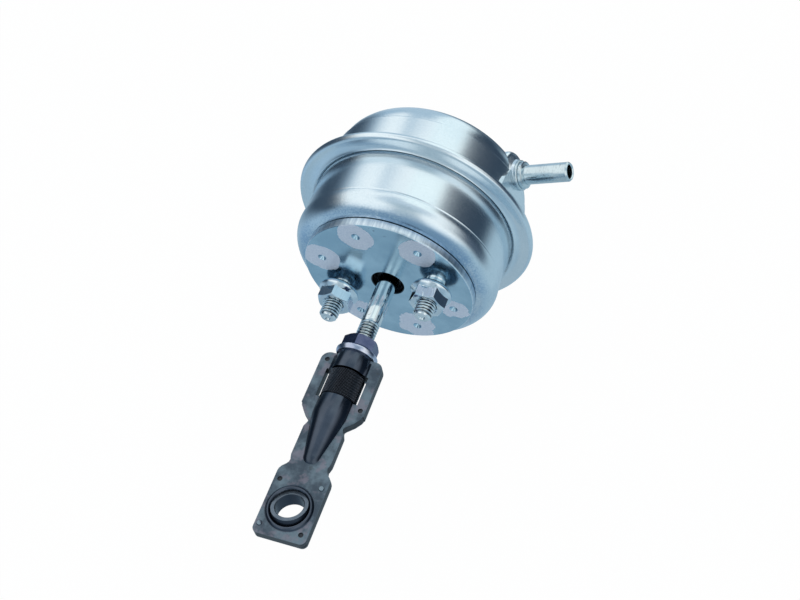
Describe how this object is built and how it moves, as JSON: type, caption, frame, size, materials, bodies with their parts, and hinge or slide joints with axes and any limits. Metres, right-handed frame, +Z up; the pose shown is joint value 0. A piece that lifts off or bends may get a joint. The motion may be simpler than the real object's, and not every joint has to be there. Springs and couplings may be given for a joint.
{
  "type": "turbo actuator",
  "caption": "Vacuum can with a plate and studs to bolt down, a hose nipple, and a sprung rod that ends in an adjustable ball-jointed eye.",
  "frame": {"origin": "centre of the mounting plate's front face, on the rod's axis", "axes": "+Y into the can, -Y along the rod, +Z up, +X to the side where the upper stud and the hose nipple lie"},
  "size_m": [0.0837, 0.1374, 0.0774],
  "materials": {
    "plate_zinc": "semi-gloss bluish zinc with pale weld marks",
    "stud_zinc": "bright zinc",
    "nut_zinc": "bright bluish zinc",
    "shell_zinc": "satin bluish zinc",
    "nipple_zinc": "satin, slightly warm",
    "diaphragm_rubber": "matt black with fabric",
    "pressed_steel": "plain pressed steel",
    "rod_zinc": "bright drawn and rolled",
    "spring_steel": "oiled wire",
    "lock_nut_blue": "blue-violet passivated zinc",
    "rod_end_dark": "dark phosphated sheet",
    "adjuster_dark": "black knurled steel",
    "ball_steel": "blue-grey hardened steel"
  },
  "bodies": {
    "can": {"mounting_plate": "plate_zinc", "stud_left": "stud_zinc", "stud_right": "stud_zinc", "nut_left": "nut_zinc", "nut_right": "nut_zinc", "lower_shell": "shell_zinc", "upper_shell": "shell_zinc", "nipple_collar": "nipple_zinc", "hose_nipple": "nipple_zinc", "diaphragm": "diaphragm_rubber", "return_spring": "spring_steel", "spring_seat": "pressed_steel"},
    "rod": {"actuator_rod": "rod_zinc", "piston_cup": "pressed_steel", "piston_washer": "pressed_steel"},
    "rod_end": {"rod_end_upper": "rod_end_dark", "rod_end_lower": "rod_end_dark"},
    "adjuster": {"adjuster_nut": "adjuster_dark"},
    "lock_nut": {"lock_nut": "lock_nut_blue"},
    "eye": {"eye_ball": "ball_steel"}
  },
  "joints": [
    {"name": "rod_slide", "type": "slide", "parent": "can", "child": "rod", "axis": [0, 1, 0], "range_m": [0, 0.012], "stiffness_N_per_m": 6000, "springref_m": -0.008, "deforming": ["return_spring", "diaphragm"]},
    {"name": "length_adjust", "type": "slide", "parent": "rod", "child": "rod_end", "axis": [0, 1, 0], "range_m": [-0.003, 0.003]},
    {"name": "adjuster_turn", "type": "hinge", "parent": "rod_end", "child": "adjuster", "pos_m": [0, -0.0397, 0], "axis": [0, 1, 0], "range_deg": [-1090, 1090]},
    {"name": "lock_nut_turn", "type": "hinge", "parent": "rod_end", "child": "lock_nut", "pos_m": [0, -0.0255, 0], "axis": [0, 1, 0], "range_deg": [-1090, 1090]},
    {"name": "eye_tilt", "type": "hinge", "parent": "rod_end", "child": "eye", "pos_m": [0, -0.0788, 0], "axis": [0.9413, 0.3173, 0.1156], "range_deg": [-3.4, 33.6]}
  ],
  "couplings": [
    {"joint": "adjuster_turn", "follows": "length_adjust", "rad_per_m": 6283.2},
    {"joint": "lock_nut_turn", "follows": "length_adjust", "rad_per_m": 6283.2}
  ]
}
